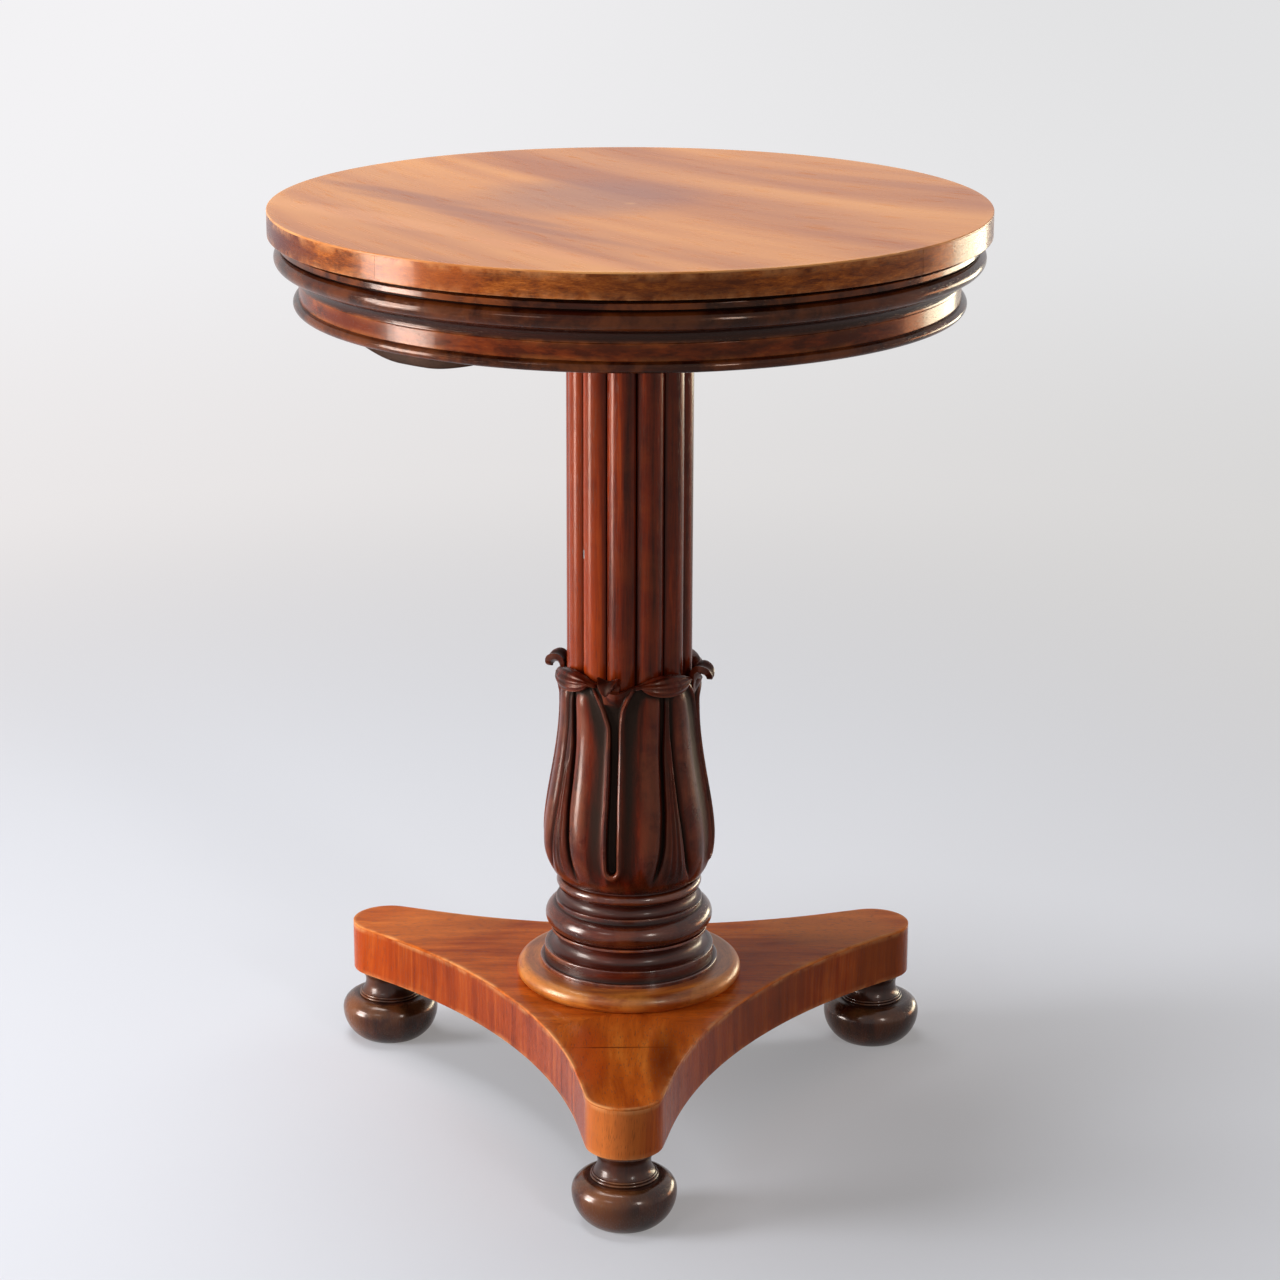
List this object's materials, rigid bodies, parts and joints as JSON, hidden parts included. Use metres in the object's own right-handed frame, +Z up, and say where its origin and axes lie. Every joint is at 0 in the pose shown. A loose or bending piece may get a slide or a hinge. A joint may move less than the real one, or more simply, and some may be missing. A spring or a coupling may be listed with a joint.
{
  "type": "telescopic tiered table",
  "caption": "Round pedestal table with a reeded column, carved lotus vase and concave triform base on bun feet; its stacked tiers slide up and lock to make a tiered stand.",
  "frame": {"origin": "on the floor under the axis of the column", "axes": "+Z up along the column, the front lobe of the base towards -Y"},
  "size_m": [0.553, 0.553, 0.735],
  "materials": {
    "platform_wood": "oiled, dull",
    "platform_top": "satin polish",
    "platform_edge": "satin polish, veneer with upright grain",
    "foot_wood": "dark polish, worn",
    "collar_wood": "satin polish",
    "socle_wood": "gloss polish",
    "carved_wood": "satin polish, carved",
    "inner_wood": "bare",
    "column_wood": "gloss polish",
    "brass": "worn, satin",
    "tier_wood": "satin polish",
    "band_veneer": "satin polish",
    "moulding_wood": "gloss polish",
    "top_wood": "oiled, dull",
    "top_veneer": "satin polish",
    "edge_veneer": "satin polish, worn",
    "catch_wood": "dull, handled"
  },
  "bodies": {
    "base": {"platform_core": "platform_wood", "platform_top_veneer": "platform_top", "platform_side_veneer_1": "platform_edge", "platform_side_veneer_2": "platform_edge", "platform_side_veneer_3": "platform_edge", "platform_lobe_veneer_1": "platform_edge", "platform_lobe_veneer_2": "platform_edge", "platform_lobe_veneer_3": "platform_edge", "foot_front": "foot_wood", "foot_right": "foot_wood", "foot_left": "foot_wood", "base_collar": "collar_wood", "socle": "socle_wood", "lotus_vase": "carved_wood", "column_post": "inner_wood", "post_wedge_bottom": "inner_wood", "post_wedge_top": "inner_wood", "fixed_stave_1": "column_wood", "fixed_stave_2": "column_wood", "fixed_stave_3": "column_wood", "fixed_stave_4": "column_wood", "lower_tier_board": "tier_wood", "lower_tier_band": "band_veneer", "lower_tier_bead": "moulding_wood", "lower_catch_cleat_inner": "catch_wood", "lower_catch_cleat_outer": "catch_wood", "cleat_screw_1": "brass", "cleat_screw_2": "brass", "cleat_screw_3": "brass", "cleat_screw_4": "brass"},
    "middle_stage": {"middle_stave_1": "column_wood", "middle_stave_2": "column_wood", "middle_stave_3": "column_wood", "middle_stave_4": "column_wood", "stop_pin_middle": "brass", "middle_tier_board": "tier_wood", "middle_tier_moulding": "moulding_wood", "upper_catch_keeper_inner": "brass", "upper_catch_keeper_outer": "brass"},
    "top_stage": {"top_stave_1": "column_wood", "top_stave_2": "column_wood", "top_stave_3": "column_wood", "top_stave_4": "column_wood", "stop_pin_top": "brass", "top_board": "top_wood", "top_veneer": "top_veneer", "top_rest_ring": "moulding_wood", "top_edge_band_1": "edge_veneer", "top_edge_band_2": "edge_veneer", "top_edge_band_3": "edge_veneer", "top_edge_band_4": "edge_veneer"},
    "lower_catch": {"lower_catch_bar": "catch_wood", "lower_catch_grip": "catch_wood"},
    "upper_catch": {"upper_catch_bolt": "brass", "upper_catch_button": "brass"}
  },
  "joints": [
    {"name": "middle_tier_rise", "type": "slide", "parent": "base", "child": "middle_stage", "axis": [0, 0, 1], "range_m": [0, 0.19]},
    {"name": "top_rise", "type": "slide", "parent": "middle_stage", "child": "top_stage", "axis": [0, 0, 1], "range_m": [0, 0.19]},
    {"name": "lower_catch_slide", "type": "slide", "parent": "base", "child": "lower_catch", "axis": [0.6095, 0.7928, 0], "range_m": [0, 0.01]},
    {"name": "upper_catch_slide", "type": "slide", "parent": "middle_stage", "child": "upper_catch", "axis": [-0.1314, -0.9913, 0], "range_m": [0, 0.01]}
  ]
}
